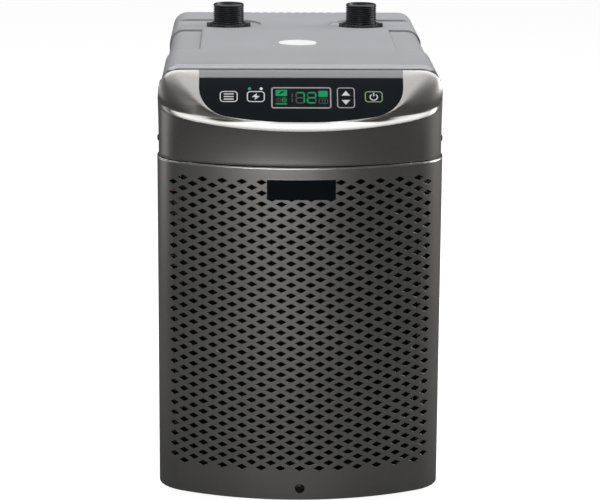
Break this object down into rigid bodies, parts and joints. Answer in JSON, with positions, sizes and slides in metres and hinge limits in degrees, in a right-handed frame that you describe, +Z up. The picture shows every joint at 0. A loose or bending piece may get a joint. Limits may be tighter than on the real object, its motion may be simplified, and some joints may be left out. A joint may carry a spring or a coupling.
{
  "type": "water chiller",
  "caption": "Free-standing water chiller: bowed diamond grille, sloping key panel, light top cover with threaded water ports and hand grips, and the refrigeration set inside.",
  "frame": {"origin": "bottom centre of the whole part, on the floor under the feet", "axes": "+Z up, -Y towards the grille, +X to the right seen from the front"},
  "size_m": [0.28, 0.458, 0.4544],
  "materials": {
    "grille": "moulded, satin",
    "pewter": "metallic pewter lacquer on plastic",
    "silver_cover": "light silver-grey, fine texture",
    "grip_grey": "silver-grey, fine texture",
    "black_panel": "black, polished",
    "black_plastic": "black, moulded",
    "white_plastic": "white",
    "black_screw": "black oxide",
    "window": "smoked",
    "status_green": "lit",
    "rubber": "moulded",
    "zinc": "zinc plated",
    "case_steel": "powder coat, dark grey",
    "galvanised": "galvanised sheet",
    "aluminium": "mill finish",
    "copper": "drawn copper tube",
    "brass": "machined",
    "black_metal": "black enamel",
    "stainless": "drawn, satin",
    "board_green": "solder mask",
    "filter_mesh": "open woven mesh",
    "foam": "closed-cell foam"
  },
  "bodies": {
    "case": {"base_pan": "galvanised", "rubber_feet": "rubber", "foot_screws": "zinc", "front_grille": "grille", "grille_screw": "black_screw", "name_plate": "black_panel", "filter_frame": "black_plastic", "filter_pad": "filter_mesh", "control_head": "pewter", "head_screws": "black_screw", "control_panel": "black_panel", "status_lights": "status_green", "display_window": "window", "display_module": "black_plastic", "control_board": "board_green", "top_cover": "silver_cover", "cover_disc": "white_plastic", "left_grip": "grip_grey", "right_grip": "grip_grey", "left_side_panel": "case_steel", "right_side_panel": "case_steel", "rear_panel": "case_steel", "rear_screws": "zinc", "side_screws": "zinc", "inlet_port": "black_plastic", "outlet_port": "black_plastic", "port_lock_rings": "black_plastic", "port_gaskets": "rubber", "mains_inlet": "black_plastic", "inlet_pins": "brass", "condenser_fins": "aluminium", "condenser_tube": "copper", "condenser_brackets": "galvanised", "fan_shroud": "galvanised", "fan_motor": "black_metal", "motor_bracket": "galvanised", "compressor": "black_metal", "compressor_grommets": "rubber", "compressor_studs": "zinc", "terminal_cover": "black_plastic", "water_vessel": "stainless", "vessel_caps": "stainless", "vessel_jacket": "foam", "evaporator_coil": "stainless", "vessel_shelf": "galvanised", "vessel_saddles": "black_plastic", "filter_drier": "copper", "discharge_line": "copper", "liquid_line": "copper", "suction_line": "copper", "power_board": "board_green", "control_lead": "black_plastic", "water_sensor": "brass"},
    "fan": {"fan_rotor": "black_plastic", "fan_shaft": "zinc"},
    "menu_key": {"key_menu": "black_panel"},
    "boost_key": {"key_boost": "black_panel"},
    "up_key": {"key_up": "black_panel"},
    "down_key": {"key_down": "black_panel"},
    "power_key": {"key_power": "black_panel"}
  },
  "joints": [
    {"name": "fan_spin", "type": "hinge", "parent": "case", "child": "fan", "pos_m": [0, -0.123, 0.178], "axis": [0, 1, 0], "continuous": true},
    {"name": "menu_press", "type": "slide", "parent": "case", "child": "menu_key", "axis": [0, 0.7431, -0.6691], "range_m": [0, 0.0007], "stiffness_N_per_m": 800},
    {"name": "boost_press", "type": "slide", "parent": "case", "child": "boost_key", "axis": [0, 0.7431, -0.6691], "range_m": [0, 0.0007], "stiffness_N_per_m": 800},
    {"name": "up_press", "type": "slide", "parent": "case", "child": "up_key", "axis": [0, 0.7431, -0.6691], "range_m": [0, 0.0007], "stiffness_N_per_m": 800},
    {"name": "down_press", "type": "slide", "parent": "case", "child": "down_key", "axis": [0, 0.7431, -0.6691], "range_m": [0, 0.0007], "stiffness_N_per_m": 800},
    {"name": "power_press", "type": "slide", "parent": "case", "child": "power_key", "axis": [0, 0.7431, -0.6691], "range_m": [0, 0.0007], "stiffness_N_per_m": 800}
  ]
}
